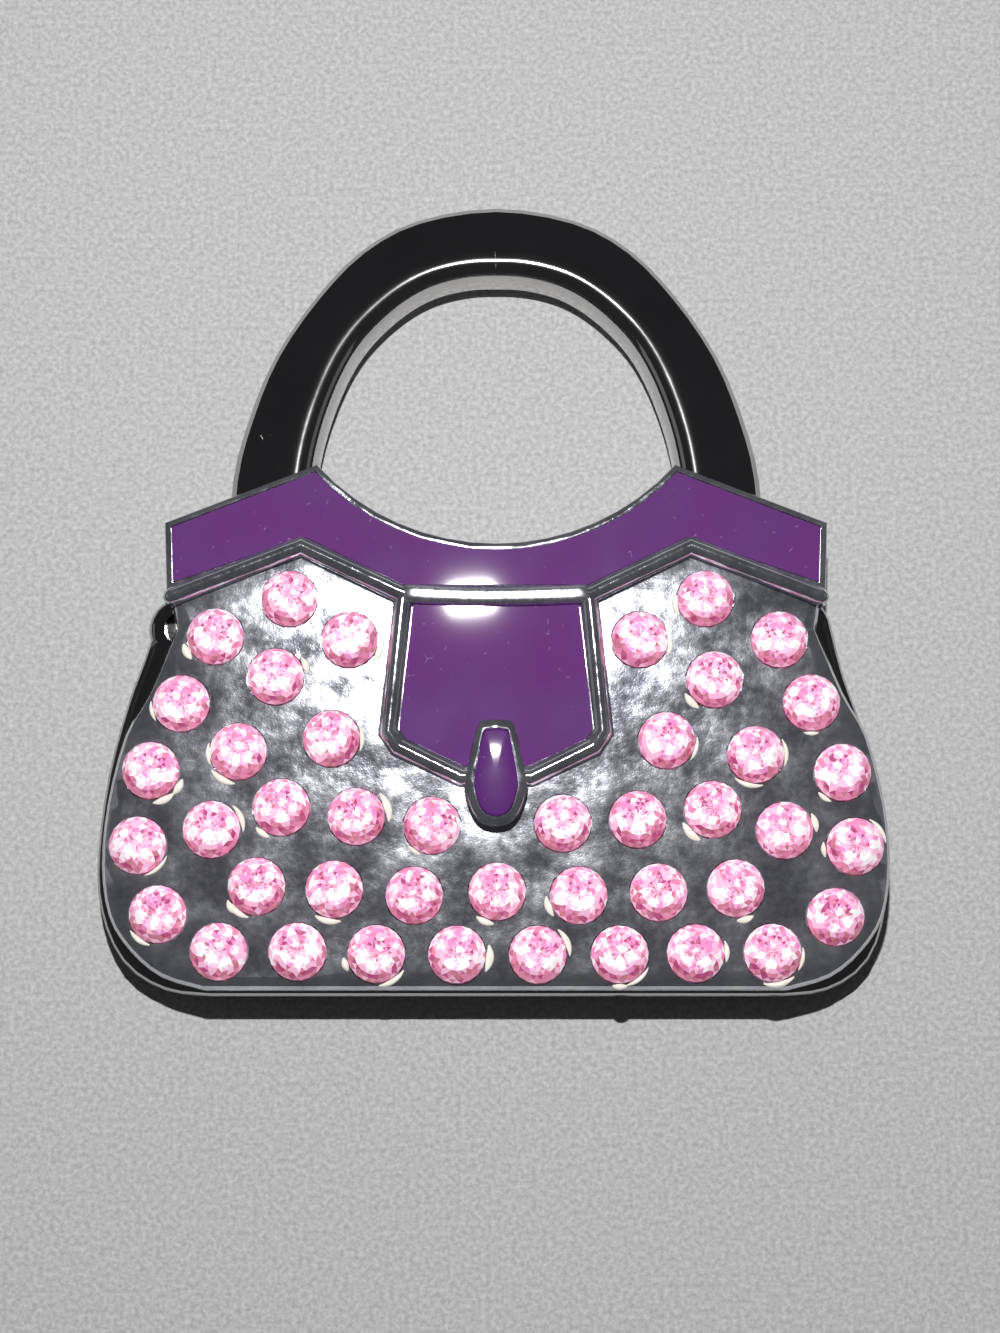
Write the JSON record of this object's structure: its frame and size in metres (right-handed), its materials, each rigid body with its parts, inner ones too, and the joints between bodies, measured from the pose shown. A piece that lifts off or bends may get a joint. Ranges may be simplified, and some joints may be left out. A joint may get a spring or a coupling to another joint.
{
  "type": "handbag table hook",
  "caption": "Folding table hook shaped as a small handbag: chrome face with enamel and pink stones, an arched handle, and a hook arm that swings out from behind.",
  "frame": {"origin": "middle of the rubber pad's underside, on the table", "axes": "+Z out of the decorated face, +Y towards the handle, +X to the viewer's right"},
  "size_m": [0.0531, 0.0544, 0.0082],
  "materials": {
    "bright_chrome": "polished, faintly mottled plating",
    "dark_plating": "dark mirror plating with fine scratches",
    "purple_enamel": "glossy soft enamel",
    "pink_stone": "foil-backed faceted glass",
    "steel_pin": "plain",
    "nickel_magnet": "nickel plated",
    "black_rubber": "matt"
  },
  "bodies": {
    "body": {"front_plate": "bright_chrome", "top_band_enamel": "purple_enamel", "flap_enamel": "purple_enamel", "clasp_enamel": "purple_enamel", "handle_and_back": "dark_plating", "hinge_pin": "steel_pin", "hinge_washer": "steel_pin", "body_magnet": "nickel_magnet", "table_pad": "black_rubber", "stone_01": "pink_stone", "stone_02": "pink_stone", "stone_03": "pink_stone", "stone_04": "pink_stone", "stone_05": "pink_stone", "stone_06": "pink_stone", "stone_07": "pink_stone", "stone_08": "pink_stone", "stone_09": "pink_stone", "stone_10": "pink_stone", "stone_11": "pink_stone", "stone_12": "pink_stone", "stone_13": "pink_stone", "stone_14": "pink_stone", "stone_15": "pink_stone", "stone_16": "pink_stone", "stone_17": "pink_stone", "stone_18": "pink_stone", "stone_19": "pink_stone", "stone_20": "pink_stone", "stone_21": "pink_stone", "stone_22": "pink_stone", "stone_23": "pink_stone", "stone_24": "pink_stone", "stone_25": "pink_stone", "stone_26": "pink_stone", "stone_27": "pink_stone", "stone_28": "pink_stone", "stone_29": "pink_stone", "stone_30": "pink_stone", "stone_31": "pink_stone", "stone_32": "pink_stone", "stone_33": "pink_stone", "stone_34": "pink_stone", "stone_35": "pink_stone", "stone_36": "pink_stone", "stone_37": "pink_stone", "stone_38": "pink_stone", "stone_39": "pink_stone", "stone_40": "pink_stone", "stone_41": "pink_stone", "stone_42": "pink_stone", "stone_43": "pink_stone"},
    "arm": {"hook_arm": "dark_plating", "arm_magnet": "nickel_magnet"}
  },
  "joints": [
    {"name": "hook_swing", "type": "hinge", "parent": "body", "child": "arm", "pos_m": [-0.0214, 0.0103, 0.0023], "axis": [0, 0, -1], "range_deg": [0, 150]}
  ]
}
